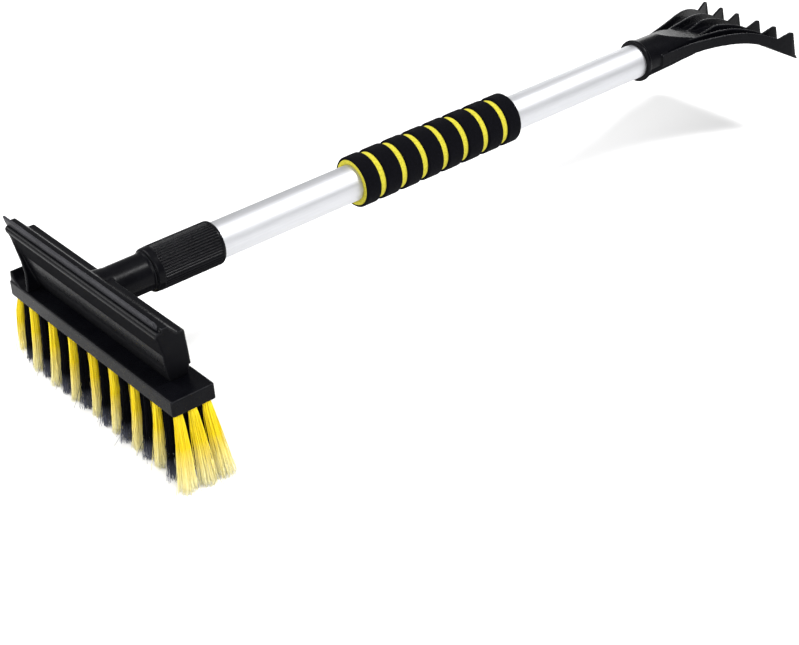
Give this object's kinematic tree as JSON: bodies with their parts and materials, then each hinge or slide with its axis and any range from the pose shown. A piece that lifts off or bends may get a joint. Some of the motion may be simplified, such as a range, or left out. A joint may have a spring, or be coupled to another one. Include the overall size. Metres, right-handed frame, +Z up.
{
  "type": "snow brush scraper",
  "caption": "Telescopic hand tool with a T-shaped bristle brush and rubber squeegee at one end, a foam grip, and a toothed ice scraper at the other end.",
  "frame": {"origin": "middle of the whole object's box, on the surface that the bristle tips stand on", "axes": "+X along the handle from the brush to the scraper, +Y along the brush, +Z up, bristles pointing down"},
  "size_m": [0.679, 0.2308, 0.1231],
  "materials": {
    "satin_aluminium": "satin drawn tube",
    "yellow_foam": "closed-cell foam, matte",
    "black_foam": "closed-cell foam, matte",
    "black_plastic": "satin moulded plastic",
    "inner_plastic": "plain moulded plastic",
    "blade_rubber": "smooth rubber",
    "yellow_bristle": "crimped filament",
    "black_bristle": "crimped filament",
    "screw_steel": "zinc plated"
  },
  "bodies": {
    "handle": {"outer_tube": "satin_aluminium", "grip_core": "yellow_foam", "grip_band_1": "black_foam", "grip_band_2": "black_foam", "grip_band_3": "black_foam", "grip_band_4": "black_foam", "grip_band_5": "black_foam", "grip_band_6": "black_foam", "grip_band_7": "black_foam", "grip_band_8": "black_foam", "scraper_head": "black_plastic", "scraper_screws": "screw_steel", "collet": "inner_plastic"},
    "lock_collar": {"lock_collar": "black_plastic"},
    "carriage": {"guide_bush": "inner_plastic"},
    "head": {"inner_tube": "satin_aluminium", "end_plug": "inner_plastic", "squeegee_holder": "black_plastic", "neck_screw": "screw_steel", "brush_block": "black_plastic", "block_screws": "screw_steel", "squeegee_blade": "blade_rubber", "tuft_staples": "screw_steel", "tufts_01": "yellow_bristle", "tufts_02": "black_bristle", "tufts_03": "yellow_bristle", "tufts_04": "black_bristle", "tufts_05": "yellow_bristle", "tufts_06": "black_bristle", "tufts_07": "yellow_bristle", "tufts_08": "black_bristle", "tufts_09": "yellow_bristle", "tufts_10": "black_bristle", "tufts_11": "yellow_bristle", "tufts_12": "black_bristle", "tufts_13": "yellow_bristle", "tufts_14": "black_bristle", "tufts_15": "yellow_bristle", "tufts_16": "black_bristle", "tufts_17": "yellow_bristle"}
  },
  "joints": [
    {"name": "collar_twist", "type": "hinge", "parent": "handle", "child": "lock_collar", "pos_m": [-0.25315, 0, 0.0995], "axis": [1, 0, 0], "range_deg": [0, 120]},
    {"name": "telescope_slide", "type": "slide", "parent": "handle", "child": "carriage", "axis": [-1, 0, 0], "range_m": [0, 0.28]},
    {"name": "head_spin", "type": "hinge", "parent": "carriage", "child": "head", "pos_m": [-0.25315, 0, 0.0995], "axis": [1, 0, 0], "continuous": true}
  ]
}
